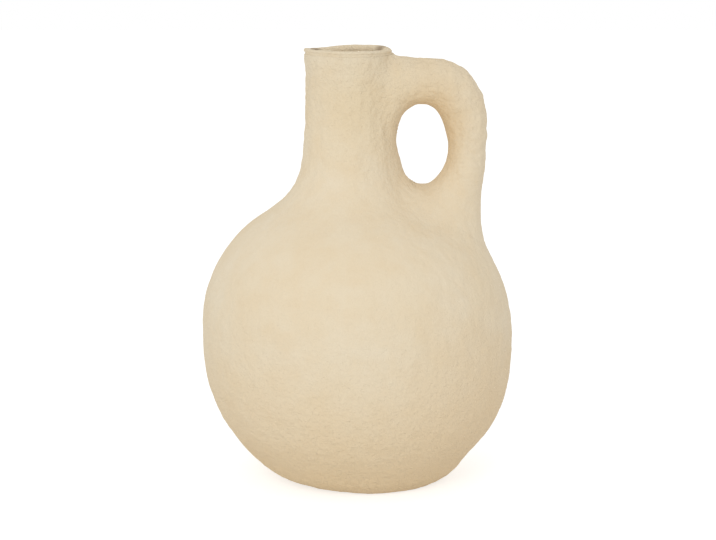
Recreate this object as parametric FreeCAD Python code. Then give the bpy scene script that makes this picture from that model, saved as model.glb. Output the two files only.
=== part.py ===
import FreeCAD, Part

import math
import os

from FreeCAD import Vector

# Hand-built round-bellied clay jug with a straight neck and one thick loop handle.
# It is put together as its potter does it: a rolled base slab, six wall courses luted
# on top of each other, a thin lip coil, and a loop handle whose arch is tied to the
# neck and to the shoulder by a wad of clay at each end.
#
# Millimetres, +Z up. The origin is on the floor, under the middle of the belly at its
# widest line, and +X points to the handle.

# Belly and foot
belly_radius = 107.6          # at the widest line
belly_line_height = 97.0      # floor to the widest line
foot_radius = 56.3            # flat ring that stands on the floor
foot_edge_radius = 1.0        # rounding of the foot's lower edge
foot_drift = 5.0              # foot's middle, off the belly's middle, towards the handle

# Shoulder and neck
shoulder_rise = 115.0         # widest line to the root of the neck
neck_length = 84.0            # root of the neck to the underside of the lip
neck_root_radius = 36.0
neck_waist_radius = 28.8
neck_top_radius = 29.8
neck_drift = -6.4             # neck's axis, off the belly's middle, away from the handle

# Walls, floor and mouth
wall_thickness = 6.5
base_thickness = 8.0
bore_radius = 24.2            # straight inside of the neck, the mouth's free radius
bore_start_rise = 14.0        # root of the neck to where the inside runs straight
lip_height = 4.0
lip_radius = 30.4
lip_top_rounding = 1.8

# Handle, laid out round the gap for the fingers
leg_inset = 18.4              # belly's widest line to the leg's outer side
gap_neck_margin = 3.6         # neck's waist to the gap
gap_top_depth = 38.7          # mouth to the top of the gap
gap_foot_drop = 5.7           # root of the neck to the bottom of the gap
arm_thickness = 31.3          # over the top of the gap
elbow_thickness = 35.2        # across the bend
leg_thickness = 26.4          # beside the gap, where the fingers close
handle_depth = 31.0           # front to back
upper_root_depth = 34.0
lower_root_depth = 60.0
lip_clearance = 0.3           # upper root to the underside of the lip

# Places that follow from the sizes above
neck_root_height = belly_line_height + shoulder_rise
lip_base_height = neck_root_height + neck_length
mouth_height = lip_base_height + lip_height
bore_start_height = neck_root_height + bore_start_rise
gap_top = mouth_height - gap_top_depth
gap_bottom = neck_root_height - gap_foot_drop
gap_left = neck_drift + neck_waist_radius + gap_neck_margin
gap_right = belly_radius - leg_inset - leg_thickness
upper_root_top = lip_base_height - lip_clearance
arm_top = gap_top + arm_thickness

# Outline from the floor to the widest line: share of the height, share of the swell
# from the foot's radius to the belly's, and share of the foot's drift that is left
lower_outline_shares = [
    (0.00, 0.00, 1.00),
    (0.06, 0.175, 0.70),
    (0.17, 0.38, 0.38),
    (0.36, 0.675, 0.26),
    (0.64, 0.915, 0.14),
    (1.00, 1.00, 0.00),
]

# Outline from the widest line to the root of the neck: share of the rise, share of
# the belly's extra radius over the root, and share of the neck's drift
shoulder_outline_shares = [
    (0.31, 0.94, 0.14),
    (0.50, 0.805, 0.18),
    (0.63, 0.645, 0.30),
    (0.74, 0.415, 0.62),
    (0.86, 0.145, 0.94),
    (1.00, 0.00, 0.94),
]

# Outline of the neck: share of its length, share of the root's extra radius over the
# waist, share of the top's extra radius over the waist, and share of the neck's drift
neck_outline_shares = [
    (0.32, 0.28, 0.00, 0.86),
    (0.68, 0.00, 0.00, 1.00),
    (1.00, 0.00, 1.00, 1.00),
]

# Luted seams: the first three as shares of the height from base slab to neck root,
# the last two as shares of the neck's length
belly_seam_shares = [0.22, 0.46, 0.68]
neck_foot_seam_share = 0.06
neck_seam_share = 0.30

course_names = [
    "belly_lower",
    "belly_middle",
    "belly_upper",
    "shoulder",
    "neck_lower",
    "neck_upper",
]

# Handle sections, along the roll from the neck to the shoulder. The inner point is
# given as shares of half the gap's width and height from the gap's middle.
# Upper root: inner point, how far the section's top has come down from under the lip
# to the arm's top, and share of the root's depth
upper_root_shares = [
    (-1.90, 0.34, 0.00, 1.00),
    (-1.10, 0.34, 0.00, 1.00),
    (-0.67, 0.80, 0.50, 0.93),
]

# Arm, elbow and leg: inner point, slope of the section as a share of a right angle,
# share of that stretch's thickness, and share of the handle's depth
arm_shares = [
    (-0.08, 1.00, 1.00, 1.00, 1.00),
]
elbow_shares = [
    (0.46, 0.88, 0.745, 0.99, 1.00),
    (0.75, 0.59, 0.578, 1.00, 1.00),
    (0.90, 0.30, 0.411, 0.92, 1.00),
]
leg_shares = [
    (0.99, -0.06, 0.094, 1.00, 1.00),
    (0.94, -0.41, -0.111, 1.00, 1.00),
    (0.69, -0.76, -0.211, 1.15, 1.05),
]

# Lower root: inner point, outer point as a share of the leg's inset from the belly's
# widest line and as a share of the way down from the gap to that line, and share of
# the root's depth
lower_root_shares = [
    (0.24, -0.98, 1.20, 0.17, 0.64),
    (-0.50, -0.98, 1.15, 0.345, 0.82),
    (-1.10, -1.45, 1.07, 0.55, 1.00),
]


def outline_stations():
    """Outer outline of the vessel as (height, radius, centre x), from the floor up."""
    stations = []
    for height_share, swell_share, drift_share in lower_outline_shares:
        radius = foot_radius + swell_share * (belly_radius - foot_radius)
        stations.append((height_share * belly_line_height, radius, drift_share * foot_drift))
    for rise_share, radius_share, drift_share in shoulder_outline_shares:
        height = belly_line_height + rise_share * shoulder_rise
        radius = neck_root_radius + radius_share * (belly_radius - neck_root_radius)
        stations.append((height, radius, drift_share * neck_drift))
    for length_share, root_share, top_share, drift_share in neck_outline_shares:
        height = neck_root_height + length_share * neck_length
        root_extra = root_share * (neck_root_radius - neck_waist_radius)
        top_extra = top_share * (neck_top_radius - neck_waist_radius)
        radius = neck_waist_radius + root_extra + top_extra
        stations.append((height, radius, drift_share * neck_drift))
    return stations


def inner_stations(stations):
    """The outline moved inwards by the wall, square to it, up to the root of the neck."""
    moved = []
    for index in range(len(stations)):
        height, radius, centre = stations[index]
        if height > neck_root_height:
            break
        below = stations[max(index - 1, 0)]
        above = stations[min(index + 1, len(stations) - 1)]
        rise = above[0] - below[0]
        widening = above[1] - below[1]
        run = math.hypot(rise, widening)
        moved_height = height + wall_thickness * widening / run
        moved_radius = radius - wall_thickness * rise / run
        moved.append((moved_height, moved_radius, centre))
    moved.append((bore_start_height, bore_radius, neck_drift))
    return moved


def loft_through(stations):
    """A closed solid through one level circle at each station."""
    rings = []
    for height, radius, centre in stations:
        ring = Part.makeCircle(radius, Vector(centre, 0, height))
        rings.append(Part.Wire([ring]))
    return Part.makeLoft(rings, True, False)


def gap_point(across_share, up_share):
    """A point of the gap's outline, or beyond it, in the jug's plane of symmetry."""
    x = (gap_left + gap_right) / 2 + across_share * (gap_right - gap_left) / 2
    z = (gap_bottom + gap_top) / 2 + up_share * (gap_top - gap_bottom) / 2
    return Vector(x, 0, z)


def upper_root_sections():
    """Upright sections from inside the neck out to the arm."""
    sections = []
    for across_share, up_share, fall_share, depth_share in upper_root_shares:
        inner = gap_point(across_share, up_share)
        top = upper_root_top - fall_share * (upper_root_top - arm_top)
        sections.append((inner, Vector(inner.x, 0, top), depth_share * upper_root_depth))
    return sections


def arch_sections():
    """Sections that fan round the gap, over the arm, the elbow and down the leg."""
    sections = []
    stretches = [
        (arm_shares, arm_thickness),
        (elbow_shares, elbow_thickness),
        (leg_shares, leg_thickness),
    ]
    for shares, thickness in stretches:
        for across_share, up_share, slope_share, thickness_share, depth_share in shares:
            inner = gap_point(across_share, up_share)
            slope = slope_share * math.pi / 2
            outward = Vector(math.cos(slope), 0, math.sin(slope))
            outer = inner + outward * (thickness_share * thickness)
            sections.append((inner, outer, depth_share * handle_depth))
    return sections


def lower_root_sections():
    """Slanting sections that spread over the shoulder and end inside it."""
    sections = []
    for across_share, up_share, inset_share, drop_share, depth_share in lower_root_shares:
        inner = gap_point(across_share, up_share)
        outer_x = belly_radius - inset_share * leg_inset
        outer_z = gap_bottom - drop_share * (gap_bottom - belly_line_height)
        sections.append((inner, Vector(outer_x, 0, outer_z), depth_share * lower_root_depth))
    return sections


def section_oval(section):
    """A closed oval across the handle, through the section's inner and outer points."""
    inner, outer, depth = section
    thickness = (outer - inner).Length
    outward = (outer - inner).normalize()
    placing = FreeCAD.Matrix()
    placing.setCol(0, outward)
    placing.setCol(1, Vector(0, depth / thickness, 0))
    placing.setCol(2, outward.cross(Vector(0, 1, 0)))
    placing.setCol(3, (inner + outer) / 2)
    oval = Part.Wire([Part.makeCircle(thickness / 2)]).transformGeometry(placing)
    return Part.Wire(oval.Edges)


def beyond_section(section):
    """A block that fills everything past a handle section, on the way to the shoulder."""
    inner, outer, depth = section
    side = 2 * mouth_height
    block = Part.makeBox(side, side, side, Vector(-side / 2, -side / 2, -side))
    slope = math.degrees(math.atan2(outer.z - inner.z, outer.x - inner.x))
    block.rotate(Vector(0, 0, 0), Vector(0, 1, 0), -slope)
    block.translate(inner)
    return block


def make_vessel_solid():
    """The vessel's outer form, filled."""
    return loft_through(outline_stations())


def make_vessel_wall(vessel_solid):
    """The vessel without its hollow: belly cavity below, straight bore in the neck."""
    cavity = loft_through(inner_stations(outline_stations()))
    bore_bottom = Vector(neck_drift, 0, bore_start_height)
    bore = Part.makeCylinder(bore_radius, mouth_height, bore_bottom)
    return vessel_solid.cut(cavity).cut(bore)


def course(solid, low, high):
    """One course of the vessel: what lies between two level seams."""
    side = 4 * belly_radius
    slab = Part.makeBox(side, side, high - low, Vector(-side / 2, -side / 2, low))
    return solid.common(slab)


def make_base_slab(vessel_solid):
    """The rolled disc that the jug stands on, its lower edge softened."""
    slab = course(vessel_solid, 0, base_thickness)
    floor_edges = [edge for edge in slab.Edges if edge.BoundBox.ZMax < base_thickness / 2]
    return slab.makeFillet(foot_edge_radius, floor_edges)


def make_rim_lip():
    """The lip coil: a ring on top of the neck with a rounded crown."""
    centre = Vector(neck_drift, 0, lip_base_height)
    ring = Part.makeCylinder(lip_radius, lip_height, centre)
    ring = ring.cut(Part.makeCylinder(bore_radius, lip_height, centre))
    crown = []
    for edge in ring.Edges:
        if edge.BoundBox.ZMin > lip_base_height + lip_height / 2:
            crown.append(edge)
    return ring.makeFillet(lip_top_rounding, crown)


def make_handle_parts(vessel_solid):
    """The loop in one sweep, seated on the vessel's skin and parted at two sections."""
    upper, arch, lower = upper_root_sections(), arch_sections(), lower_root_sections()
    ovals = [section_oval(section) for section in upper + arch + lower]
    roll = Part.makeLoft(ovals, True, False).cut(vessel_solid)
    past_neck = beyond_section(upper[-1])
    past_arch = beyond_section(arch[-1])
    upper_run = roll.cut(past_arch)
    return {
        "handle_upper_root": upper_run.cut(past_neck),
        "handle_arch": upper_run.common(past_neck),
        "handle_lower_root": roll.common(past_arch),
    }


def seam_heights():
    """Levels of the seams from the base slab's top to the lip's underside."""
    wall_rise = neck_root_height - base_thickness
    seams = [base_thickness]
    for share in belly_seam_shares:
        seams.append(base_thickness + share * wall_rise)
    seams.append(neck_root_height + neck_foot_seam_share * neck_length)
    seams.append(neck_root_height + neck_seam_share * neck_length)
    seams.append(lip_base_height)
    return seams


def make_parts():
    """Every separate piece by name."""
    vessel_solid = make_vessel_solid()
    wall = make_vessel_wall(vessel_solid)
    seams = seam_heights()
    parts = {"base_slab": make_base_slab(vessel_solid)}
    for index, name in enumerate(course_names):
        parts[name] = course(wall, seams[index], seams[index + 1])
    parts["rim_lip"] = make_rim_lip()
    parts.update(make_handle_parts(vessel_solid))
    return parts


os.makedirs("parts", exist_ok=True)
for name, shape in make_parts().items():
    shape.exportStep("parts/" + name + ".step")
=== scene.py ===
import math

import bpy
import numpy as np
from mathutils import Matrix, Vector


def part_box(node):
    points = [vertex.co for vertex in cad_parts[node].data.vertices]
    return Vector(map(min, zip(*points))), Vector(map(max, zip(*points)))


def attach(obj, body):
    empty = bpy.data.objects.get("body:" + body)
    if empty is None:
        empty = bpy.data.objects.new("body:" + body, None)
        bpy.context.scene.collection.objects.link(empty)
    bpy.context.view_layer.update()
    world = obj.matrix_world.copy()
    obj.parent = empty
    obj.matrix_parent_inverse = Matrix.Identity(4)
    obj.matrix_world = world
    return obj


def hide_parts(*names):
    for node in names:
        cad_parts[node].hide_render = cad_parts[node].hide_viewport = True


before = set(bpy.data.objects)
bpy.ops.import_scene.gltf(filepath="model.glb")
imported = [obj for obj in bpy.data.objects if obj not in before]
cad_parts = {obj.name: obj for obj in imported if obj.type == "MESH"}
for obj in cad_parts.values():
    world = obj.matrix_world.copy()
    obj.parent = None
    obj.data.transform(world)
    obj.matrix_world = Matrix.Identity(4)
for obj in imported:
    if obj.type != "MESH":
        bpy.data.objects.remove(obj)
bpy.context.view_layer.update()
print("frame loaded:", len(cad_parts), "nodes")

millimetresPerMetre = 1000.0  # meshes are worked out in millimetres and stored in metres
tiny = 1e-9  # keeps a divisor off zero


# Levels of the luted seams, read from the frame

def topLevel(node):  # highest level of a node, in mm
    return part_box(node)[1][2] * millimetresPerMetre


courseNames = ["belly_lower", "belly_middle", "belly_upper", "shoulder", "neck_lower", "neck_upper"]
seamLevels = [topLevel("base_slab")] + [topLevel(name) for name in courseNames]
topSeam = len(seamLevels) - 1  # number of the seam under the lip
mouthLevel = topLevel("rim_lip")


# Outline of the vessel, in mm

vessel = {
    "beltRadius": 107.6,  # at the widest line
    "beltLevel": 97.0,
    "footRadius": 56.3,
    "footDrift": 5.0,  # foot's middle, off the belly's middle, towards the handle
    "footRounding": 1.0,
    "shoulderRise": 115.0,
    "neckRootRadius": 36.0,
    "neckWaistRadius": 28.8,
    "neckTopRadius": 29.8,
    "neckDrift": -6.4,  # neck's axis, off the belly's middle, away from the handle
    "wall": 6.5,
    "boreRadius": 24.3,
    "boreStartRise": 14.0,  # root of the neck to where the inside runs straight
    "lipRadius": 29.9,
    "columns": 640,  # vertices round every ring
    "skinStep": 0.85,  # distance between rings on the outside
    "innerStep": 4.0,
    "throatStep": 1.4,  # distance between rings in the neck's bore
    "poleRadius": 0.6,  # smallest ring under the foot and on the floor inside
    "underRings": 60,
    "roundingRings": 7,
    "floorRings": 20,
    "lipPoints": 48,
    "outerPoints": 4000,  # points of the worked-out curves
    "innerPoints": 3000,
    "skinPoints": 1200,
}

# share of the height, share of the swell from foot to belt, share of the foot's drift
lowerOutlineShares = np.array([
    (0.00, 0.00, 1.00),
    (0.06, 0.175, 0.70),
    (0.17, 0.38, 0.38),
    (0.36, 0.675, 0.26),
    (0.64, 0.915, 0.14),
    (1.00, 1.00, 0.00),
])

# share of the rise, share of the belt's extra radius over the neck root, share of the neck's drift
shoulderOutlineShares = np.array([
    (0.31, 0.94, 0.14),
    (0.50, 0.805, 0.18),
    (0.63, 0.64, 0.27),
    (0.74, 0.405, 0.52),
    (0.86, 0.135, 0.80),
    (1.00, -0.01, 0.82),
])

# share of the neck's length, shares of the root's and the top's extra radius, share of the drift
neckOutlineShares = np.array([
    (0.32, 0.28, 0.00, 0.86),
    (0.68, 0.00, 0.00, 1.00),
    (1.00, 0.00, 1.00, 1.00),
])

neckRootLevel = vessel["beltLevel"] + vessel["shoulderRise"]
neckTopLevel = seamLevels[topSeam]


def ramp(values, start, end):  # 0 up to the start, rising evenly to 1 at the end
    return np.clip((values - start) / (end - start), 0, 1)


def lobe(turn, middle, spread):  # 1 in the middle, falling off by exp(-(distance / spread)^2)
    return np.exp(-((turn - middle) / spread) ** 2)


def unit(vectors):  # each vector over its own length
    return vectors / np.maximum(np.linalg.norm(vectors, axis=-1, keepdims=True), tiny)


def walkedLength(first, second):  # length of a path from its start to each of its points
    return np.concatenate(([0.0], np.cumsum(np.hypot(np.diff(first), np.diff(second)))))


def splineThrough(knots, values, at):
    # Natural cubic spline: the second slopes at the knots solve the three-term system, and each
    # stretch is the cubic that meets both end values with those second slopes.
    gaps = np.diff(knots)
    slopes = np.diff(values) / gaps
    system = np.eye(len(knots))
    wanted = np.zeros(len(knots))
    inner = np.arange(1, len(knots) - 1)
    system[inner, inner - 1] = gaps[:-1]
    system[inner, inner] = 2 * (gaps[:-1] + gaps[1:])
    system[inner, inner + 1] = gaps[1:]
    wanted[inner] = 6 * np.diff(slopes)
    bends = np.linalg.solve(system, wanted)
    cell = np.clip(np.searchsorted(knots, at, side="right") - 1, 0, len(knots) - 2)
    past = at - knots[cell]
    left = gaps[cell] - past
    cubes = (bends[cell] * left ** 3 + bends[cell + 1] * past ** 3) / (6 * gaps[cell])
    straight = (values[cell] / gaps[cell] - bends[cell] * gaps[cell] / 6) * left
    straight += (values[cell + 1] / gaps[cell] - bends[cell + 1] * gaps[cell] / 6) * past
    return cubes + straight


def outlineStations():
    # Level, radius and drift at the listed points, from the floor up to the neck's top.
    low = lowerOutlineShares
    lowPart = np.column_stack((
        low[:, 0] * vessel["beltLevel"],
        vessel["footRadius"] + low[:, 1] * (vessel["beltRadius"] - vessel["footRadius"]),
        low[:, 2] * vessel["footDrift"],
    ))
    mid = shoulderOutlineShares
    midPart = np.column_stack((
        vessel["beltLevel"] + mid[:, 0] * vessel["shoulderRise"],
        vessel["neckRootRadius"] + mid[:, 1] * (vessel["beltRadius"] - vessel["neckRootRadius"]),
        mid[:, 2] * vessel["neckDrift"],
    ))
    top = neckOutlineShares
    rootExtra = top[:, 1] * (vessel["neckRootRadius"] - vessel["neckWaistRadius"])
    topExtra = top[:, 2] * (vessel["neckTopRadius"] - vessel["neckWaistRadius"])
    topPart = np.column_stack((
        neckRootLevel + top[:, 0] * (neckTopLevel - neckRootLevel),
        vessel["neckWaistRadius"] + rootExtra + topExtra,
        top[:, 3] * vessel["neckDrift"],
    ))
    return np.vstack((lowPart, midPart, topPart))


def denseCurve(stations, count):
    # The stations joined by splines over their chord length, as many close points.
    knots = walkedLength(stations[:, 0], stations[:, 1])
    at = np.linspace(0, knots[-1], count)
    return np.column_stack([splineThrough(knots, column, at) for column in stations.T])


def innerStations(stations):
    # The outline up to the neck's root, moved inwards by the wall and square to it, then the bore.
    ahead = np.vstack((stations[1:], stations[-1:]))
    behind = np.vstack((stations[:1], stations[:-1]))
    rise = ahead[:, 0] - behind[:, 0]
    widening = ahead[:, 1] - behind[:, 1]
    run = np.hypot(rise, widening)
    moved = np.column_stack((
        stations[:, 0] + vessel["wall"] * widening / run,
        stations[:, 1] - vessel["wall"] * rise / run,
        stations[:, 2],
    ))
    below = moved[:-len(neckOutlineShares)]
    boreStart = (neckRootLevel + vessel["boreStartRise"], vessel["boreRadius"], vessel["neckDrift"])
    boreEnd = (mouthLevel, vessel["boreRadius"], vessel["neckDrift"])
    return np.vstack((below, boreStart, boreEnd))


outerStations = outlineStations()
outerCurve = denseCurve(outerStations, vessel["outerPoints"])
innerBase = innerStations(outerStations)
innerCurve = denseCurve(innerBase[:-1], vessel["innerPoints"])
innerCurve = np.vstack((innerCurve, innerBase[-1:]))  # the bore runs straight to the mouth


def levelsEvenly(curve, low, high, step):
    # Levels between two seams at which the curve has been walked in equal steps.
    walked = walkedLength(curve[:, 0], curve[:, 1])
    start, end = np.interp((low, high), curve[:, 0], walked)
    count = max(2, int(round(abs(end - start) / step)) + 1)
    return np.interp(np.linspace(start, end, count), walked, curve[:, 0])


# across from the bore to the lip's outside, up from the neck's top to the mouth
lipShares = np.array([
    (0.88, 0.00),
    (0.86, 0.28),
    (0.89, 0.44),
    (0.97, 0.58),
    (1.00, 0.73),
    (0.95, 0.88),
    (0.82, 0.97),
    (0.62, 1.00),
    (0.40, 0.96),
    (0.20, 0.85),
    (0.06, 0.62),
    (0.00, 0.30),
    (0.00, 0.00),
])


def lipProfile():
    # Radius and level over the lip, by a spline: out over the coil, round its crown and down to
    # the bore.
    levels = neckTopLevel + lipShares[:, 1] * (mouthLevel - neckTopLevel)
    radii = vessel["boreRadius"] + lipShares[:, 0] * (vessel["lipRadius"] - vessel["boreRadius"])
    curve = denseCurve(np.column_stack((levels, radii)), vessel["lipPoints"])
    return curve[:, 1], curve[:, 0]


def wholeProfile():
    # One path in the half plane: out under the foot, round its edge by a quadratic curve, up the
    # outside, over the lip, down the inside and in over the floor. Returns the radius, level and
    # drift of each ring, and the ring at each seam, outside and inside.
    radii, levels, drifts, marks = [], [], [], {}

    def addStretch(newRadii, newLevels, newDrifts):  # a later stretch leaves out its first ring
        first = 1 if radii else 0
        radii.extend(newRadii[first:])
        levels.extend(newLevels[first:])
        drifts.extend(newDrifts[first:])

    def addCourse(curve, low, high, step):  # rings along a curve from one seam to the next
        rows = levelsEvenly(curve, low, high, step)
        newRadii, newDrifts = [np.interp(rows, curve[:, 0], curve[:, axis]) for axis in (1, 2)]
        addStretch(newRadii, rows, newDrifts)

    rounding = vessel["footRounding"]
    footTop = np.interp(rounding, outerCurve[:, 0], outerCurve[:, 1])
    under = np.linspace(vessel["poleRadius"], vessel["footRadius"] - rounding, vessel["underRings"])
    addStretch(under, under * 0, under * 0 + vessel["footDrift"])
    turn = np.linspace(0, 1, vessel["roundingRings"])
    edge = (1 - turn) ** 2 * under[-1] + 2 * turn * (1 - turn) * vessel["footRadius"]
    edge += turn ** 2 * footTop
    addStretch(edge, turn ** 2 * rounding, turn * 0 + vessel["footDrift"])
    ends = [rounding] + seamLevels
    for index in range(topSeam + 1):
        addCourse(outerCurve, ends[index], ends[index + 1], vessel["skinStep"])
        marks["out", index] = len(radii) - 1
    lipRadii, lipLevels = lipProfile()
    addStretch(lipRadii, lipLevels, lipRadii * 0 + vessel["neckDrift"])
    marks["in", topSeam] = len(radii) - 1
    for index in range(topSeam, 0, -1):
        step = vessel["throatStep"] if index == topSeam else vessel["innerStep"]
        addCourse(innerCurve, seamLevels[index], seamLevels[index - 1], step)
        marks["in", index - 1] = len(radii) - 1
    floor = np.linspace(radii[-1], vessel["poleRadius"], vessel["floorRings"])
    addStretch(floor, floor * 0 + seamLevels[0], floor * 0 + drifts[-1])
    return np.array(radii), np.array(levels), np.array(drifts), marks


print("outline ready")


# Handle roll, in mm, laid out round the gap for the fingers

handle = {
    "gapNeckMargin": 3.6,  # neck's waist to the gap
    "gapTopDepth": 39.4,  # mouth to the top of the gap
    "gapFootDrop": 6.6,  # root of the neck to the bottom of the gap, before the smear
    "legInset": 18.4,  # belly's widest line to the leg's outer side
    "armThickness": 32.0,
    "elbowThickness": 35.2,
    "legThickness": 26.4,
    "depth": 31.0,  # front to back
    "upperRootDepth": 34.0,
    "lowerRootDepth": 60.0,
    "lipClearance": 0.3,
    "columns": 240,
    "step": 0.75,  # distance between rings on the outer side
    "outerStretch": 1.25,  # outer side's length over the middle's
    "fewestSteps": 24,  # rings of the shortest piece
    "capRings": 8,  # rings that close each end
    "capFrom": 0.08,  # smallest ring's share of the end's oval
    "points": 121,  # sampled sections of the distance to the roll
    "finePoints": 2000,
    "seat": 2.5,  # how far the roots reach into the wall
    "seatSteps": 4,
}

# across and up from the gap's middle as shares of its half sizes, how far the top has come down
# from under the lip to the arm's top, share of the root's depth
upperRootShares = np.array([
    (-1.90, 0.34, 0.00, 1.00),
    (-1.10, 0.34, 0.00, 1.00),
    (-0.67, 0.80, 0.50, 0.93),
])

# across and up, slope as a share of a right angle, shares of the arm's, elbow's and leg's
# thickness, share of the depth
archShares = np.array([
    (-0.08, 1.00, 1.000, 1.00, 0.00, 0.00, 1.00),
    (0.46, 0.88, 0.745, 0.00, 1.00, 0.00, 1.00),
    (0.75, 0.59, 0.578, 0.00, 1.02, 0.00, 1.00),
    (0.90, 0.30, 0.411, 0.00, 0.92, 0.00, 1.00),
    (0.99, -0.06, 0.094, 0.00, 0.00, 1.00, 1.00),
    (0.89, -0.41, -0.111, 0.00, 0.00, 1.03, 1.00),
    (0.62, -0.76, -0.211, 0.00, 0.00, 1.20, 1.05),
])

# across and up, outer point as a share of the leg's inset and of the drop from gap to widest
# line, share of the root's depth
lowerRootShares = np.array([
    (0.16, -0.98, 1.20, 0.17, 0.64),
    (-0.50, -0.98, 1.15, 0.345, 0.82),
    (-1.10, -1.45, 1.07, 0.55, 1.00),
])
neckSplit = 2  # section where the upper root meets the arch
shoulderSplit = 9  # section where the arch meets the lower root

gapTop = mouthLevel - handle["gapTopDepth"]
gapFoot = neckRootLevel - handle["gapFootDrop"]
gapLeft = vessel["neckDrift"] + vessel["neckWaistRadius"] + handle["gapNeckMargin"]
gapRight = vessel["beltRadius"] - handle["legInset"] - handle["legThickness"]


def sectionEnds():
    # Inner and outer point of every section in the plane of symmetry, and its depth: the inner
    # point is the gap's middle plus shares of its half sizes.
    shares = np.vstack((upperRootShares[:, :2], archShares[:, :2], lowerRootShares[:, :2]))
    half = np.array([gapRight - gapLeft, gapTop - gapFoot]) / 2
    inner = np.array([gapRight + gapLeft, gapTop + gapFoot]) / 2 + shares * half
    outer = inner.copy()
    depths = np.empty(len(inner))
    arm, leg = len(upperRootShares), len(upperRootShares) + len(archShares)
    rootTop = neckTopLevel - handle["lipClearance"]
    outer[:arm, 1] = rootTop - upperRootShares[:, 2] * (rootTop - gapTop - handle["armThickness"])
    depths[:arm] = upperRootShares[:, 3] * handle["upperRootDepth"]
    slope = archShares[:, 2] * math.pi / 2
    thicknesses = [handle["armThickness"], handle["elbowThickness"], handle["legThickness"]]
    thickness = archShares[:, 3:6] @ thicknesses
    outer[arm:leg] += thickness[:, None] * np.column_stack((np.cos(slope), np.sin(slope)))
    depths[arm:leg] = archShares[:, 6] * handle["depth"]
    outer[leg:, 0] = vessel["beltRadius"] - lowerRootShares[:, 2] * handle["legInset"]
    outer[leg:, 1] = gapFoot - lowerRootShares[:, 3] * (gapFoot - vessel["beltLevel"])
    depths[leg:] = lowerRootShares[:, 4] * handle["lowerRootDepth"]
    return inner, outer, depths


rollKeys = ("x", "z", "slope", "halfThickness", "halfDepth")


def handleCurve(count):
    # Middle, slope and half sizes along the roll, as splines over the middles' chord length.
    inner, outer, depths = sectionEnds()
    across = outer - inner
    middle = (inner + outer) / 2
    knots = walkedLength(middle[:, 0], middle[:, 1])
    at = np.linspace(0, knots[-1], count)
    slope = np.unwrap(np.arctan2(across[:, 1], across[:, 0]))
    halfThickness = np.hypot(across[:, 0], across[:, 1]) / 2
    columns = (middle[:, 0], middle[:, 1], slope, halfThickness, depths / 2)
    curve = {key: splineThrough(knots, column, at) for key, column in zip(rollKeys, columns)}
    return {"at": at, "knots": knots, **curve}


roll = handleCurve(handle["points"])


def ovalDistance(across, side, halfThickness, halfDepth):
    # Distance to an oval: its implicit value times itself less one, over its gradient.
    value = np.hypot(across / halfThickness, side / halfDepth)
    slope = np.hypot(across / halfThickness ** 2, side / halfDepth ** 2)
    return value * (value - 1) / np.maximum(slope, tiny)


def handleDistance(points):
    # Signed distance to the roll: the section plane that holds the point is found between the
    # two nearest sampled sections, and the oval in that plane gives the distance.
    index = np.arange(len(roll["at"]))
    dx = points[:, 0, None] - roll["x"]
    dz = points[:, 2, None] - roll["z"]
    cosine, sine = np.cos(roll["slope"]), np.sin(roll["slope"])
    along = dx * sine - dz * cosine
    across = dx * cosine + dz * sine
    away = ovalDistance(across, points[:, 1, None], roll["halfThickness"], roll["halfDepth"])
    best = np.argmin(np.hypot(along, np.maximum(away, 0)), axis=1)
    each = np.arange(len(points))
    here = along[each, best]
    nextOne = np.clip(best + np.where(here > 0, 1, -1), 0, len(index) - 1)
    there = along[each, nextOne]
    apart = here - there
    usable = np.abs(apart) > tiny
    share = np.where(usable, here / np.where(usable, apart, 1), 0)
    position = best + np.clip(share, 0, 1) * (nextOne - best)
    x, z, slope, halfThickness, halfDepth = [
        np.interp(position, index, roll[key]) for key in rollKeys
    ]
    dx, dz = points[:, 0] - x, points[:, 2] - z
    along = dx * np.sin(slope) - dz * np.cos(slope)
    across = dx * np.cos(slope) + dz * np.sin(slope)
    away = ovalDistance(across, points[:, 1], halfThickness, halfDepth)
    return np.where(away > 0, np.hypot(away, along), away)


def slopeOf(valueAt, points, nudge=0.4):
    # Central differences of a value along X, Y and Z.
    slope = np.empty_like(points)
    for axis in range(3):
        shift = np.zeros(3)
        shift[axis] = nudge
        slope[:, axis] = (valueAt(points + shift) - valueAt(points - shift)) / (2 * nudge)
    return slope


strip = {  # clay smeared down the neck from one handle root to the other, in mm
    "halfWidth": 19.0,
    "levels": np.array([198.0, 206.0, 215.0, 233.0, 254.0, 270.0, 280.0]),
    "rises": np.array([0.0, 0.9, 2.8, 1.7, 1.5, 0.3, 0.0]),
}


def stripRise(points):
    # Rise at the point's level, by a spline, times the squared cosine of the way across.
    across = np.clip(np.abs(points[:, 1]) / strip["halfWidth"], 0, 1)
    level = np.clip(points[:, 2], strip["levels"][0], strip["levels"][-1])
    rise = np.maximum(splineThrough(strip["levels"], strip["rises"], level), 0)
    return rise * np.cos(across * math.pi / 2) ** 2 * (points[:, 0] > 0)


vesselLevels = np.linspace(0, mouthLevel, vessel["skinPoints"])
vesselRadii = np.interp(vesselLevels, outerCurve[:, 0], outerCurve[:, 1])
vesselDrifts = np.interp(vesselLevels, outerCurve[:, 0], outerCurve[:, 2])
vesselFlares = np.gradient(vesselRadii, vesselLevels)


def wallDistance(points):
    # Radial distance to the vessel's skin at the point's level times the wall's lean.
    radius = np.interp(points[:, 2], vesselLevels, vesselRadii) + stripRise(points)
    drift = np.interp(points[:, 2], vesselLevels, vesselDrifts)
    flare = np.interp(points[:, 2], vesselLevels, vesselFlares)
    return (np.hypot(points[:, 0] - drift, points[:, 1]) - radius) / np.hypot(1, flare)


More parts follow.
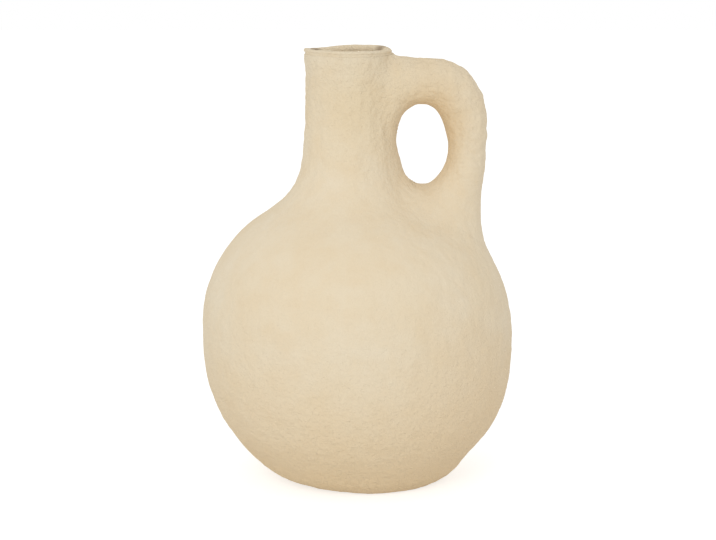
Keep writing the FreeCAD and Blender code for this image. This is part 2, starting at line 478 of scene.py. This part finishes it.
smear = {  # how widely the clay is smeared where the roll meets the wall, in mm
    "levels": (215.0, 240.0, 286.0, 295.0),
    "reaches": (14.0, 9.0, 6.5, 5.5),
    "outerReach": 9.0,  # on the outer side of the lower root
    "outerFrom": 74.0,
    "outerTo": 94.0,
    "farthest": 9.0,  # most that a point is raised
    "overlap": 1.5,  # how far each skin runs on under the other one
    "overlapSlack": 0.3,
    "halvings": 12,
    "surfaceMiss": 0.06,  # a point this near the union's surface is on it
    "normalReach": 22.0,  # up to this far from the other skin the union gives the normals
    "rightOf": -8.0,  # wall points near the roll lie beyond this and the next two
    "above": 120.0,
    "halfWidth": 62.0,
    "wallSearch": (-14.0, 24.0),  # distances to the roll at which wall points are raised
    "rollSearch": (-6.0, 24.0),  # distances to the wall at which roll points are raised
}


def jointField(points):
    # Smooth union of wall and roll, and how much nearer the wall is than the roll. The union is
    # the smaller distance less (reach - difference)^2 / 4 reach within the reach.
    fromWall, fromRoll = wallDistance(points), handleDistance(points)
    reach = np.interp(points[:, 2], smear["levels"], smear["reaches"])
    outer = ramp(points[:, 0], smear["outerFrom"], smear["outerTo"])
    reach += outer * (smear["outerReach"] - reach)
    near = np.maximum(reach - np.abs(fromRoll - fromWall), 0)
    return np.minimum(fromWall, fromRoll) - near ** 2 / (4 * reach), fromRoll - fromWall


def raiseToJoint(points, normals, side):
    # Halving steps along each normal to where the union's surface is reached or the other skin
    # is nearer by the overlap; side is 1 for the wall and -1 for the roll.
    low = np.zeros(len(points))
    high = np.full(len(points), smear["farthest"])
    for halving in range(smear["halvings"]):
        half = (low + high) / 2
        value, lead = jointField(points + normals * half[:, None])
        inside = np.maximum(value, -side * lead - smear["overlap"]) < 0
        low = np.where(inside, half, low)
        high = np.where(inside, high, half)
    raised = points + normals * low[:, None]
    value, lead = jointField(raised)
    shown = side * lead > -smear["overlap"] - smear["overlapSlack"]
    onJoint = (np.abs(value) < smear["surfaceMiss"]) & shown & (side * lead < smear["normalReach"])
    return raised, onJoint


# Relief of the hand-worked clay, in mm

relief = {
    "sway": (0.7, 70.0, 3),  # height, grain and seed: slow waves of the hand-built wall
    "dents": (0.85, 27.0, 5),
    "lumps": (0.62, 9.0, 7),
    "pebbles": (0.34, 4.6, 11),
    "grit": (0.18, 2.3, 13),
    "risingStrokes": (0.55, 5.5, 17),  # long marks of smoothing fingers
    "levelStrokes": (0.55, 5.5, 19),
    "risingSquash": (1, 1, 0.3),  # times X, Y and Z: under 1 draws a mark out
    "levelSquash": (0.35, 0.35, 1.2),
    "strokeTurn": (60, 100),  # levels between which the marks turn upright
    "lipCalm": 0.65,  # share of the relief that the lip is without
    "lipLevels": (290, 295),
    "pits": (  # place, size and depth
        (-33.6, -102.1, 96.7, 1.1, 0.55),
        (-26.5, -100.4, 70.6, 1.0, 0.5),
        (24.0, -104.0, 103.1, 1.0, 0.5),
        (63.4, -17.5, 193.8, 1.1, 0.6),
        (-17.8, -97.1, 144.5, 1.2, 0.6),
        (-16.4, -97.0, 145.6, 1.0, 0.5),
    ),
}

handling = {  # how rough the clay was left, and between which places in mm each share comes in
    "body": 0.70,
    "neck": 0.75,
    "neckLevels": (200, 230),
    "grip": 0.55,
    "gripAcross": (20, 35),
    "gripLevels": (185, 215),
    "right": 0.18,
    "rightAcross": (20, 70),
    "rightTop": (190, 160),
    "rightTurn": (10, 90),  # smoother than the body at the first level, rougher at the second
    "shoulder": -0.45,
    "shoulderFoot": (130, 160),
    "shoulderHead": (205, 180),
    "shoulderAcross": (40, 10),
    "polish": 0.55,  # share taken off round the gap, where fingers smooth it
    "polishReach": (26, 20),
    "polishSquash": 0.68,  # gap's width over its height
}


def clayNoise(points, grain, seed):
    # Gradient noise: each corner of a cube with the grain's side holds a fixed random direction;
    # its product with the way from that corner is mixed over the cube by 6t^5 - 15t^4 + 10t^3.
    chance = np.random.RandomState(seed)
    count = 256  # fixed directions; a corner's numbers wrap round at this
    wrap = count - 1
    shuffled = chance.permutation(count)
    directions = unit(chance.normal(size=(count, 3)))
    scaled = points / grain
    cell = np.floor(scaled).astype(np.int64)
    offset = scaled - cell
    fade = offset ** 3 * (offset * (offset * 6 - 15) + 10)
    total = np.zeros(len(points))
    for corner in range(8):
        step = np.array([corner & 1, corner >> 1 & 1, corner >> 2 & 1])
        spot = (cell + step) & wrap
        first = shuffled[spot[:, 0]]
        second = shuffled[(first + spot[:, 1]) & wrap]
        third = shuffled[(second + spot[:, 2]) & wrap]
        pull = np.sum(directions[third] * (offset - step), axis=1)
        total += pull * np.prod(np.where(step == 1, fade, 1 - fade), axis=1)
    return total


def regionRoughness(points):
    # The body's roughness, plus shares for the neck, the handle and the right side, less one for
    # the shoulder's left and front; round the gap a part of the sum is taken off.
    x, z = points[:, 0], points[:, 2]
    total = handling["body"] + handling["neck"] * ramp(z, *handling["neckLevels"])
    total += handling["grip"] * ramp(x, *handling["gripAcross"]) * ramp(z, *handling["gripLevels"])
    right = ramp(x, *handling["rightAcross"]) * ramp(z, *handling["rightTop"])
    total += handling["right"] * right * (2 * ramp(z, *handling["rightTurn"]) - 1)
    shoulder = ramp(z, *handling["shoulderFoot"]) * ramp(z, *handling["shoulderHead"])
    total += handling["shoulder"] * shoulder * ramp(x, *handling["shoulderAcross"])
    rise = (z - (gapTop + gapFoot) / 2) * handling["polishSquash"]
    fromGap = np.hypot(x - (gapLeft + gapRight) / 2, rise)
    return total * (1 - handling["polish"] * ramp(fromGap, *handling["polishReach"]))


def noiseLayer(points, name, squash=(1, 1, 1)):  # one noise of the relief, times its height
    height, grain, seed = relief[name]
    return height * clayNoise(points * squash, grain, seed)


def clayRelief(points):
    # Sum of noises: sway and dents of the hand, then roughness times lumps, pebbles, grit and
    # strokes. The strokes run up the neck and the belly and level round the foot.
    # Each pit takes away its depth times exp(-d^2 / 2 size^2).
    total = noiseLayer(points, "sway") + noiseLayer(points, "dents")
    fine = noiseLayer(points, "lumps") + noiseLayer(points, "pebbles") + noiseLayer(points, "grit")
    upright = ramp(points[:, 2], *relief["strokeTurn"])
    fine += upright * noiseLayer(points, "risingStrokes", relief["risingSquash"])
    fine += (1 - upright) * noiseLayer(points, "levelStrokes", relief["levelSquash"])
    calm = 1 - relief["lipCalm"] * ramp(points[:, 2], *relief["lipLevels"])
    total += regionRoughness(points) * fine * calm
    for *middle, size, depth in relief["pits"]:
        away = np.sum((points - middle) ** 2, axis=1)
        total -= depth * np.exp(-away / (2 * size ** 2))
    return total


rim = {  # heights in mm, turns in radians, from the handle round the back
    "low": 0.5,  # how low the whole lip lies
    "tilt": 0.15,  # lower at the back by this, and higher at the front
    "waves": ((2, 0.15, 0.6), (3, 0.12, 2.1), (7, 0.10, 4.0)),  # count round, height, first turn
    "backDip": (2.35, 0.6, 1.6),  # middle, spread and height
    "handleDip": (0.0, 0.5, 0.9),
    "handleRise": (0.85, 0.35, 0.4),
    "levels": (284, 296),  # where the waves come in up the neck
    "reaches": (46, 32),  # and in along the arm
}


def rimWave(points):
    # The lip isn't level: it lies low as a whole, lowest at the back left and low beside the
    # handle, with slow waves round the mouth, all fading out down the neck and along the arm.
    around = np.arctan2(points[:, 1], points[:, 0] - vessel["neckDrift"])
    wave = -rim["low"] - rim["tilt"] * np.sin(around)
    for count, height, first in rim["waves"]:
        wave += height * np.sin(count * around + first)
    middle, spread, height = rim["backDip"]
    wave -= height * lobe(np.mod(around, 2 * math.pi), middle, spread)
    middle, spread, height = rim["handleDip"]
    wave -= height * lobe(around, middle, spread)
    middle, spread, height = rim["handleRise"]
    wave += height * lobe(around, middle, spread)
    reach = np.hypot(points[:, 0] - vessel["neckDrift"], points[:, 1])
    return wave * ramp(points[:, 2], *rim["levels"]) * ramp(reach, *rim["reaches"])


footWear = {
    "places": ((-2.45, 0.75, 1.45), (-0.2, 0.33, 1.0)),  # turn, spread and lift of each worn place
    "height": 7.5,  # how far up the wall it reaches
    "reaches": (42, 55),  # where the lift comes in from the foot's middle outwards
}


def footLift(points):
    # The foot's edge is worn at the front left and the right, and stands a little off the floor
    # there: a lobe round the edge times the square of a rise outwards, fading up the wall.
    turn = np.arctan2(points[:, 1], points[:, 0] - vessel["footDrift"])
    reach = np.hypot(points[:, 0] - vessel["footDrift"], points[:, 1])
    lobes = sum(lift * lobe(turn, middle, spread) for middle, spread, lift in footWear["places"])
    low = ramp(points[:, 2], footWear["height"], 0)
    return lobes * low * ramp(reach, *footWear["reaches"]) ** 2


def gridNormals(grid):
    # Cross product of the steps along both grid directions.
    around = np.roll(grid, -1, axis=1) - np.roll(grid, 1, axis=1)
    return unit(np.cross(around, np.gradient(grid, axis=0)))


def jointNormals(points):
    # The union's slope, and the same tipped by the relief's own slope.
    normals = unit(slopeOf(lambda spots: jointField(spots)[0], points))
    tilt = slopeOf(clayRelief, points)
    return normals, unit(normals - tilt + np.sum(tilt * normals, axis=1, keepdims=True) * normals)


def smoothNormals(moved, facing, joined, jointFacing):
    # The grid's normals, on the side they faced before, and along the joint the joint's own.
    smooth = gridNormals(moved).reshape(-1, 3)
    smooth *= np.sign(np.sum(smooth * facing, axis=1, keepdims=True))
    smooth[joined] = jointFacing
    return smooth.reshape(moved.shape)


def shapeVessel():
    # Rings of the whole profile: centre drift plus radius times the cosine and sine of the angle,
    # raised to the joint with the handle and then moved along the normal by the relief.
    radii, levels, drifts, marks = wholeProfile()
    angles = np.linspace(0, 2 * math.pi, vessel["columns"], endpoint=False)
    cosine, sine = np.cos(angles), np.sin(angles)
    riseStep = np.gradient(levels)
    outStep = np.gradient(radii)
    length = np.hypot(riseStep, outStep)
    outward, upward = riseStep / length, -outStep / length
    grid = np.stack((
        drifts[:, None] + radii[:, None] * cosine,
        radii[:, None] * sine,
        np.repeat(levels[:, None], len(angles), axis=1),
    ), axis=2)
    normals = np.stack((
        outward[:, None] * cosine,
        outward[:, None] * sine,
        np.repeat(upward[:, None], len(angles), axis=1),
    ), axis=2)
    shape = grid.shape
    points, facing = grid.reshape(-1, 3), normals.reshape(-1, 3)
    lipFoot = marks["out", topSeam]
    skin = np.repeat(np.arange(len(levels)) <= lipFoot, len(angles))
    points = points + facing * (stripRise(points) * skin)[:, None]
    near = skin & (points[:, 2] > smear["above"]) & (points[:, 0] > smear["rightOf"])
    near = np.flatnonzero(near & (np.abs(points[:, 1]) < smear["halfWidth"]))
    away = handleDistance(points[near])
    near = near[(away > smear["wallSearch"][0]) & (away < smear["wallSearch"][1])]
    points[near], onJoint = raiseToJoint(points[near], facing[near], 1)
    joined = near[onJoint]
    facing[joined], jointFacing = jointNormals(points[joined])
    raised = points.reshape(shape)
    crest = int(np.argmax(levels))
    shift = raised[lipFoot] - grid[lipFoot]
    share = ((mouthLevel - levels[lipFoot + 1:crest]) / (mouthLevel - neckTopLevel)) ** 2
    raised[lipFoot + 1:crest] += share[:, None, None] * shift  # the lip's foot flows into the arm
    points = raised.reshape(-1, 3)
    moved = points + facing * clayRelief(points)[:, None]
    moved[:, 2] += rimWave(moved)
    moved[:, 2] = np.maximum(moved[:, 2], 0)
    moved[:, 2] += footLift(moved) * (points[:, 2] < footWear["height"])
    moved = moved.reshape(shape)
    return moved, smoothNormals(moved, facing, joined, jointFacing), marks


def shapeHandle():
    # Ovals across the roll: middle less outward times half thickness times cosine, plus Y times
    # half depth times sine; raised to the joint, then seated in the wall at both ends.
    fine = handleCurve(handle["finePoints"])
    count = int(fine["at"][-1] * handle["outerStretch"] / handle["step"])
    stretches = [0.0, *fine["knots"][[neckSplit, shoulderSplit]], fine["at"][-1]]
    at, marks = [0.0], []
    for index in range(3):
        share = (stretches[index + 1] - stretches[index]) / stretches[-1]
        steps = max(handle["fewestSteps"], int(count * share))
        at.extend(np.linspace(stretches[index], stretches[index + 1], steps + 1)[1:])
        marks.append(len(at) - 1)
    at = np.array(at)
    x, z, slope, halfThickness, halfDepth = [
        np.interp(at, fine["at"], fine[key]) for key in rollKeys
    ]
    turn = np.linspace(0, 2 * math.pi, handle["columns"], endpoint=False)
    across = -halfThickness[:, None] * np.cos(turn)
    grid = np.stack((
        x[:, None] + np.cos(slope)[:, None] * across,
        halfDepth[:, None] * np.sin(turn),
        z[:, None] + np.sin(slope)[:, None] * across,
    ), axis=2)
    facing = gridNormals(grid)
    outwards = grid - np.stack((x, x * 0, z), axis=1)[:, None, :]
    facing *= np.sign(np.sum(facing * outwards, axis=2, keepdims=True))
    caps = handle["capRings"]
    capShares = np.linspace(handle["capFrom"], 1 - handle["capFrom"], caps)[:, None, None]
    firstMiddle, lastMiddle = grid[0].mean(axis=0), grid[-1].mean(axis=0)
    startCap = firstMiddle + (grid[0] - firstMiddle) * capShares
    endCap = lastMiddle + (grid[-1] - lastMiddle) * capShares[::-1]
    grid = np.concatenate((startCap, grid, endCap))
    startFacing, endFacing = facing[:1].repeat(caps, axis=0), facing[-1:].repeat(caps, axis=0)
    facing = np.concatenate((startFacing, facing, endFacing))
    marks = [0, marks[0] + caps, marks[1] + caps, len(grid) - 1]
    shape = grid.shape
    points, facing = grid.reshape(-1, 3), facing.reshape(-1, 3)
    away = wallDistance(points)
    near = np.flatnonzero((away > smear["rollSearch"][0]) & (away < smear["rollSearch"][1]))
    points[near], onJoint = raiseToJoint(points[near], facing[near], -1)
    joined = near[onJoint]
    facing[joined], jointFacing = jointNormals(points[joined])
    moved = points + facing * clayRelief(points)[:, None]
    moved[:, 2] += rimWave(moved)
    deep = np.flatnonzero(wallDistance(moved) < -handle["seat"])
    for step in range(handle["seatSteps"]):  # each step goes back along the wall's slope
        spots = moved[deep]
        slope = slopeOf(wallDistance, spots)
        missing = -handle["seat"] - wallDistance(spots)
        moved[deep] += slope * (missing / np.sum(slope ** 2, axis=1))[:, None]
    moved = moved.reshape(shape)
    return moved, smoothNormals(moved, facing, joined, jointFacing), marks


def linked(name, data):  # a new object, in the scene
    thing = bpy.data.objects.new(name, data)
    bpy.context.scene.collection.objects.link(thing)
    return thing


def clayPiece(name, rows, normals, wrapRows, startPole=None, endPole=None):
    # A closed mesh from a grid of rings: four corners make a face, the last column meets the
    # first, and either the last ring meets the first or each end is closed by a fan to a pole.
    rowCount, columnCount = rows.shape[:2]
    vertices = rows.reshape(-1, 3)
    facing = normals.reshape(-1, 3)
    ring = np.arange(columnCount)
    nextRing = np.roll(ring, -1)
    starts = np.arange(rowCount if wrapRows else rowCount - 1)[:, None] * columnCount
    ends = np.roll(np.arange(rowCount), -1)[: len(starts), None] * columnCount
    quads = np.stack((starts + ring, starts + nextRing, ends + nextRing, ends + ring), axis=2)
    quads = quads.reshape(-1, 4)
    fans = []
    lastRow = (rowCount - 1) * columnCount
    fanEnds = ((startPole, nextRing, ring), (endPole, lastRow + ring, lastRow + nextRing))
    for pole, near, far in fanEnds:
        if pole is not None:
            vertices = np.vstack((vertices, pole[0]))
            facing = np.vstack((facing, pole[1]))
            fans.append(np.stack((np.full(columnCount, len(vertices) - 1), near, far), axis=1))
    corners = vertices[quads]
    halves = np.cross(corners[:, 1] - corners[:, 0], corners[:, 2] - corners[:, 0])
    halves += np.cross(corners[:, 2] - corners[:, 0], corners[:, 3] - corners[:, 0])
    triangles = np.vstack(fans) if fans else np.empty((0, 3), dtype=np.int64)
    if np.sum(halves * facing[quads].sum(axis=1)) < 0:
        quads = quads[:, ::-1]
        triangles = triangles[:, ::-1]
    mesh = bpy.data.meshes.new(name)
    mesh.vertices.add(len(vertices))
    mesh.vertices.foreach_set("co", (vertices / millimetresPerMetre).astype(np.float32).ravel())
    corner = np.concatenate((quads.ravel(), triangles.ravel()))
    mesh.loops.add(len(corner))
    mesh.loops.foreach_set("vertex_index", corner.astype(np.int32))
    sizes = np.concatenate((np.full(len(quads), 4), np.full(len(triangles), 3)))
    mesh.polygons.add(len(sizes))
    mesh.polygons.foreach_set("loop_start", (np.cumsum(sizes) - sizes).astype(np.int32))
    mesh.update(calc_edges=True)
    mesh.validate()
    mesh.shade_smooth()
    mesh.normals_split_custom_set_from_vertices(facing.tolist())
    print("piece", name, "triangles", 2 * len(quads) + len(triangles))
    return linked(name, mesh)


# Materials

def linearColour(hexCode):  # sRGB hex to the linear values that Blender works in
    channels = [int(hexCode[start:start + 2], 16) / 255 for start in (1, 3, 5)]
    linear = [c / 12.92 if c <= 0.04045 else ((c + 0.055) / 1.055) ** 2.4 for c in channels]
    return (*linear, 1.0)


def addNode(tree, kind, settings=None, inputs=None, links=None):
    # One node with its settings, its socket values and its incoming links.
    node = tree.nodes.new(kind)
    for key, value in (settings or {}).items():
        setattr(node, key, value)
    for key, value in (inputs or {}).items():
        node.inputs[key].default_value = value
    for key, source in (links or {}).items():
        tree.links.new(source, node.inputs[key])
    return node


clayLook = {
    "body": "#E6D5B7",
    "pale": "#E8DAC0",
    "warm": "#E3CDAA",
    "grip": "#D8B888",  # painted warm shade inside the bend, round the finger gap
    # painted warm shade, full at the foot and fading out up the lower belly
    "foot": "#E9D0A8",
    "roughness": 0.9,
    "specular": 0.25,  # half the usual, because the slip is chalky
    "grains": {  # grains per metre, detail and roughness
        "clouds": (16.0, 4.0, 0.55),  # 60 mm wide
        "stains": (70.0, 4.0, 0.6),  # 14 mm
        "pebbles": (330.0, 2.0, 0.5),  # 3 mm
        "grit": (900.0, 2.0, 0.6),  # 1.1 mm: real grit is finer, and a pixel is 0.7 mm
    },
    "cloudLimits": (0.36, 0.64),  # noise values between which the pale clouds come in
    "stainLimits": (0.40, 0.72),
    "stainShare": 0.35,
    "gapShadePlace": (0.0534, 0.0, 0.2475),  # middle of the painted shade round the gap, in metres
    "gapShadeStretch": (1.0, 0.6, 0.68),
    "gapShadeReach": (0.027, 0.012),  # where the tint starts and where it is full
    "gapShadeShare": 0.45,
    "wideGapShadeReach": (0.055, 0.03),
    "wideGapShadeShare": 0.08,
    # levels in metres where the painted warm shade towards the foot starts and is full, and its
    # share
    "footShadeLevels": (0.11, 0.01),
    "footShadeShare": 0.75,
    "spots": (  # middle and reach in metres, share and colour
        ((0.078, -0.05, 0.06), 0.09, 0.26, "#E4C69C"),  # warmer, pinker patch low on the right
        ((0.0, -0.03, 0.262), 0.052, 0.25, "#DEC698"),  # neck's front
        ((0.0156, 0.0116, 0.2985), 0.007, 0.6, "#6E5132"),  # painted shade inside the mouth, at both ends of its dark opening
        ((-0.031, 0.0055, 0.298), 0.007, 0.6, "#6E5132"),
        ((-0.0275, 0.012, 0.297), 0.007, 0.6, "#6E5132"),
    ),
    "spotCore": 7,  # a spot is full within its reach over this
    "pebbleBump": 0.0016,  # metres
    "grainBump": 0.0008,
    "smoothLevel": 0.175,  # the shoulder is the smoothest, at this level in metres
    "smoothReach": 0.15,
    "smoothShare": 0.22,
}


def smoothedClay(name):
    # Earthenware under a thin slip, smoothed by hand: matt, sandy cream, faintly clouded, with
    # painted warm shade round the finger gap and towards the foot, painted shade inside the mouth,
    # and fine pebbly grain.
    material = bpy.data.materials.new(name)
    material.use_nodes = True
    tree = material.node_tree
    tree.nodes.clear()
    spot = addNode(tree, "ShaderNodeTexCoord").outputs["Object"]
    level = addNode(tree, "ShaderNodeSeparateXYZ", links={0: spot}).outputs["Z"]
    noises = {}
    for grain, (scale, detail, roughness) in clayLook["grains"].items():
        noises[grain] = addNode(
            tree, "ShaderNodeTexNoise",
            inputs={"Scale": scale, "Detail": detail, "Roughness": roughness},
            links={"Vector": spot},
        ).outputs["Fac"]

    # Distance from the middle of the painted shade round the finger gap, with each axis times its
    # stretch
    stretch = clayLook["gapShadeStretch"]
    shifted = addNode(
        tree, "ShaderNodeVectorMath", settings={"operation": "MULTIPLY_ADD"},
        inputs={1: stretch, 2: [-c * k for c, k in zip(clayLook["gapShadePlace"], stretch)]},
        links={0: spot},
    ).outputs["Vector"]
    fromGapShade = addNode(
        tree, "ShaderNodeVectorMath", settings={"operation": "LENGTH"}, links={0: shifted},
    ).outputs["Value"]

    # Each tint lies over the ones before: what it follows, where it starts and is full, its share
    tints = [
        (noises["clouds"], *clayLook["cloudLimits"], 1.0, clayLook["pale"]),
        (noises["stains"], *clayLook["stainLimits"], clayLook["stainShare"], clayLook["warm"]),
        # painted warm shade round the finger gap: faint and wide, then stronger near its middle
        (fromGapShade, *clayLook["wideGapShadeReach"], clayLook["wideGapShadeShare"], clayLook["grip"]),
        (fromGapShade, *clayLook["gapShadeReach"], clayLook["gapShadeShare"], clayLook["grip"]),
        # painted warm shade, strongest at the foot
        (level, *clayLook["footShadeLevels"], clayLook["footShadeShare"], clayLook["foot"]),
    ]
    for middle, reach, share, hexCode in clayLook["spots"]:
        away = addNode(
            tree, "ShaderNodeVectorMath", settings={"operation": "DISTANCE"},
            inputs={1: middle}, links={0: spot},
        ).outputs["Value"]
        tints.append((away, reach, reach / clayLook["spotCore"], share, hexCode))
    colour = None
    for source, start, full, share, hexCode in tints:
        amount = addNode(
            tree, "ShaderNodeMapRange",
            inputs={"From Min": start, "From Max": full, "To Max": share}, links={"Value": source},
        ).outputs["Result"]
        colour = addNode(  # sockets 0, 6 and 7 are the share, the colour below and the one above
            tree, "ShaderNodeMix", settings={"data_type": "RGBA"},
            inputs={6: linearColour(clayLook["body"]), 7: linearColour(hexCode)},
            links={0: amount} if colour is None else {0: amount, 6: colour},
        ).outputs[2]

    # Grain, weakest at the shoulder
    away = addNode(
        tree, "ShaderNodeMath", settings={"operation": "SUBTRACT"},
        inputs={1: clayLook["smoothLevel"]}, links={0: level},
    ).outputs["Value"]
    away = addNode(
        tree, "ShaderNodeMath", settings={"operation": "ABSOLUTE"}, links={0: away},
    ).outputs["Value"]
    worked = addNode(
        tree, "ShaderNodeMapRange",
        inputs={"From Max": clayLook["smoothReach"], "To Min": clayLook["smoothShare"]},
        links={"Value": away},
    ).outputs["Result"]
    coarse = addNode(
        tree, "ShaderNodeBump", inputs={"Distance": clayLook["pebbleBump"]},
        links={"Height": noises["pebbles"], "Strength": worked},
    )
    fine = addNode(
        tree, "ShaderNodeBump", inputs={"Distance": clayLook["grainBump"]},
        links={"Height": noises["grit"], "Strength": worked, "Normal": coarse.outputs["Normal"]},
    )
    shader = addNode(
        tree, "ShaderNodeBsdfPrincipled",
        inputs={"Roughness": clayLook["roughness"], "Specular IOR Level": clayLook["specular"]},
        links={"Base Color": colour, "Normal": fine.outputs["Normal"]},
    )
    addNode(tree, "ShaderNodeOutputMaterial", links={"Surface": shader.outputs["BSDF"]})
    return material


# Build the pieces

vesselGrid, vesselNormals, vesselMarks = shapeVessel()
print("vessel shaped", vesselGrid.shape)
handleGrid, handleNormals, handleMarks = shapeHandle()
print("handle shaped", handleGrid.shape)

clay = smoothedClay("slippedEarthenware")


def place(piece, node):  # rides on the body, stands for its node and takes the clay material
    piece.data.materials.append(clay)
    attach(piece, "root")
    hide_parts(node)


def courseRows(grid, index):  # outer rings of one course, then its inner rings from the top down
    outer = grid[vesselMarks["out", index]:vesselMarks["out", index + 1] + 1]
    inner = grid[vesselMarks["in", index + 1]:vesselMarks["in", index] + 1]
    return np.vstack((outer, inner))


slabRows, slabNormals = [
    np.vstack((grid[:vesselMarks["out", 0] + 1], grid[vesselMarks["in", 0]:]))
    for grid in (vesselGrid, vesselNormals)
]
underPole = (slabRows[0].mean(axis=0), (0, 0, -1))
floorPole = (slabRows[-1].mean(axis=0), (0, 0, 1))
place(clayPiece("baseSlab", slabRows, slabNormals, False, underPole, floorPole), "base_slab")

pieceNames = ["bellyLower", "bellyMiddle", "bellyUpper", "shoulderWall", "neckLower", "neckUpper"]
for index, name in enumerate(pieceNames):
    rows, facing = courseRows(vesselGrid, index), courseRows(vesselNormals, index)
    place(clayPiece(name, rows, facing, True), courseNames[index])
lipRows = slice(vesselMarks["out", topSeam], vesselMarks["in", topSeam] + 1)
place(clayPiece("rimLip", vesselGrid[lipRows], vesselNormals[lipRows], True), "rim_lip")

handlePieces = [
    ("handleUpperRoot", "handle_upper_root"),
    ("handleArch", "handle_arch"),
    ("handleLowerRoot", "handle_lower_root"),
]
for index, (name, node) in enumerate(handlePieces):
    span = slice(handleMarks[index], handleMarks[index + 1] + 1)
    rows, facing = handleGrid[span], handleNormals[span]
    startTip = (rows[0].mean(axis=0), rows[0].mean(axis=0) - rows[1].mean(axis=0))
    endTip = (rows[-1].mean(axis=0), rows[-1].mean(axis=0) - rows[-2].mean(axis=0))
    place(clayPiece(name, rows, facing, False, startTip, endTip), node)
print("pieces placed")


# Floor, light and camera

stageLook = {
    "floorHalf": 4.0,  # half the floor's side, in metres
    "floorWhite": 0.62,
    "floorBounce": 0.29,  # glow that lights the object from below
    "floorGlow": 0.62,  # glow seen by the camera
    "worldStrength": 0.79,
    "lampPlace": (-0.52, -1.9, 1.2),
    "lampAim": (0.0, 0.0, 0.15),
    "lampSize": 1.0,
    "lampPower": 10.25,  # watts
    "eye": (0.00048, -1.580, 0.4343),  # the photo's point of view
    "aim": (0.00048, 0.0, 0.1453),
    "lens": 116.15,  # mm, on a frame as wide as the next value
    "frameWidth": 36.0,
}


def turnTo(thing, place, aim):  # stands at the place and looks at the aim
    thing.location = place
    thing.rotation_euler = (Vector(aim) - Vector(place)).to_track_quat("-Z", "Y").to_euler()


def backgroundRays(tree):  # 1 for the rays that meet the white background
    rays = addNode(tree, "ShaderNodeLightPath")
    seen = rays.outputs["Is Camera Ray"]
    for other in ("Is Glossy Ray", "Is Transmission Ray"):
        seen = addNode(
            tree, "ShaderNodeMath", settings={"operation": "MAXIMUM"},
            links={0: seen, 1: rays.outputs[other]},
        ).outputs["Value"]
    return seen


def paleFloor():
    # A wide white floor: it is lit like the object and glows for the camera, so that it shows
    # white and keeps the soft shadow.
    mesh = bpy.data.meshes.new("floor")
    half = stageLook["floorHalf"]
    corners = [(-half, -half, 0), (half, -half, 0), (half, half, 0), (-half, half, 0)]
    mesh.from_pydata(corners, [], [(0, 1, 2, 3)])
    floor = linked("floor", mesh)
    material = bpy.data.materials.new("paleFloor")
    material.use_nodes = True
    tree = material.node_tree
    tree.nodes.clear()
    strength = addNode(
        tree, "ShaderNodeMapRange",
        inputs={"To Min": stageLook["floorBounce"], "To Max": stageLook["floorGlow"]},
        links={"Value": backgroundRays(tree)},
    )
    white = (*[stageLook["floorWhite"]] * 3, 1)
    matt = addNode(tree, "ShaderNodeBsdfDiffuse", inputs={"Color": white})
    glow = addNode(tree, "ShaderNodeEmission", links={"Strength": strength.outputs["Result"]})
    both = addNode(
        tree, "ShaderNodeAddShader", links={0: matt.outputs["BSDF"], 1: glow.outputs["Emission"]},
    )
    addNode(tree, "ShaderNodeOutputMaterial", links={"Surface": both.outputs["Shader"]})
    mesh.materials.append(material)


def softWorld():
    # White to the camera, and a plain soft sky to everything else.
    world = bpy.data.worlds.new("studio")
    bpy.context.scene.world = world
    world.use_nodes = True
    tree = world.node_tree
    tree.nodes.clear()
    sky, white = [
        addNode(
            tree, "ShaderNodeBackground",
            inputs={"Color": (1.0, 1.0, 1.0, 1.0), "Strength": strength},
        ).outputs["Background"]
        for strength in (stageLook["worldStrength"], 1.0)
    ]
    mixed = addNode(
        tree, "ShaderNodeMixShader", links={0: backgroundRays(tree), 1: sky, 2: white},
    )
    addNode(tree, "ShaderNodeOutputWorld", links={"Surface": mixed.outputs["Shader"]})


paleFloor()
softWorld()

lamp = bpy.data.lights.new("keyLamp", "AREA")
lamp.shape = "SQUARE"
lamp.size = stageLook["lampSize"]
lamp.energy = stageLook["lampPower"]
turnTo(linked("keyLamp", lamp), stageLook["lampPlace"], stageLook["lampAim"])

camera = linked("camera", bpy.data.cameras.new("camera"))
camera.data.lens = stageLook["lens"]
camera.data.sensor_width = stageLook["frameWidth"]
camera.data.sensor_fit = "HORIZONTAL"
turnTo(camera, stageLook["eye"], stageLook["aim"])
bpy.context.scene.camera = camera
bpy.context.scene.view_settings.view_transform = "Standard"
print("stage ready")
